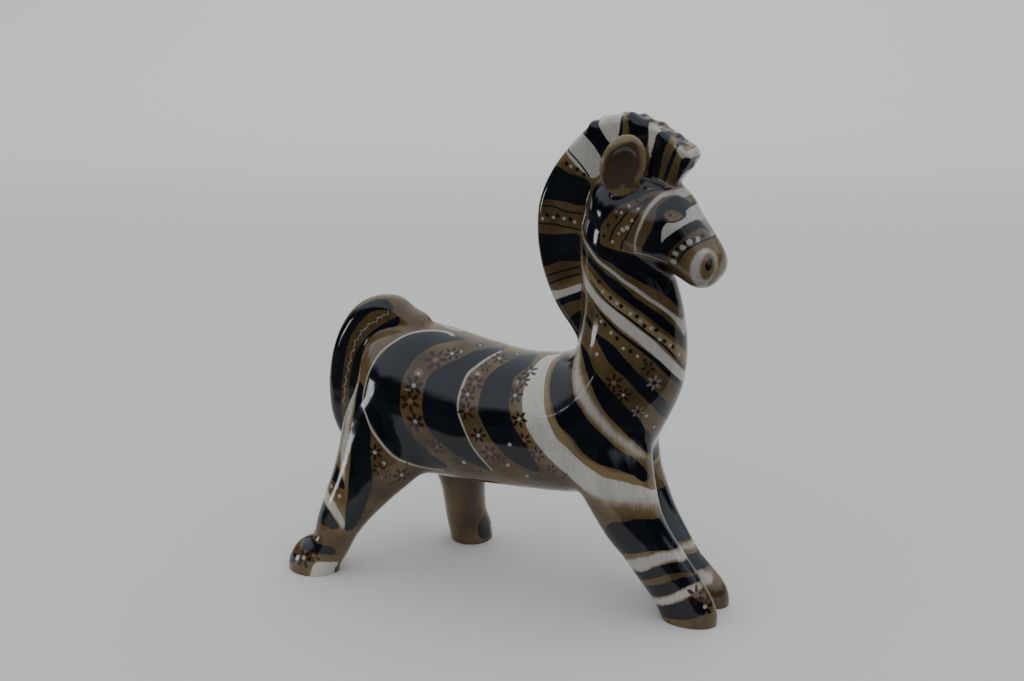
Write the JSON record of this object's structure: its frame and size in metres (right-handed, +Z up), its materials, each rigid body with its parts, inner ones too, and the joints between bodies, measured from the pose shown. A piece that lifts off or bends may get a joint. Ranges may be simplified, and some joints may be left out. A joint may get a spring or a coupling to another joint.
{
  "type": "zebra figurine",
  "caption": "Standing zebra figurine in glazed ceramic: parted legs, arched mane, tail carried against the rump, hand-painted stripes, dots and small flowers.",
  "frame": {"origin": "on the ground under the middle of the figure's bounding box", "axes": "+Z up, +X the way the animal faces, +Y its left side"},
  "size_m": [0.332, 0.139, 0.3588],
  "materials": {
    "glaze": "clear high-gloss glaze over brushed slip colours: khaki brown, blue-black and off-white"
  },
  "bodies": {
    "root": {"zebra": "glaze"}
  },
  "joints": []
}
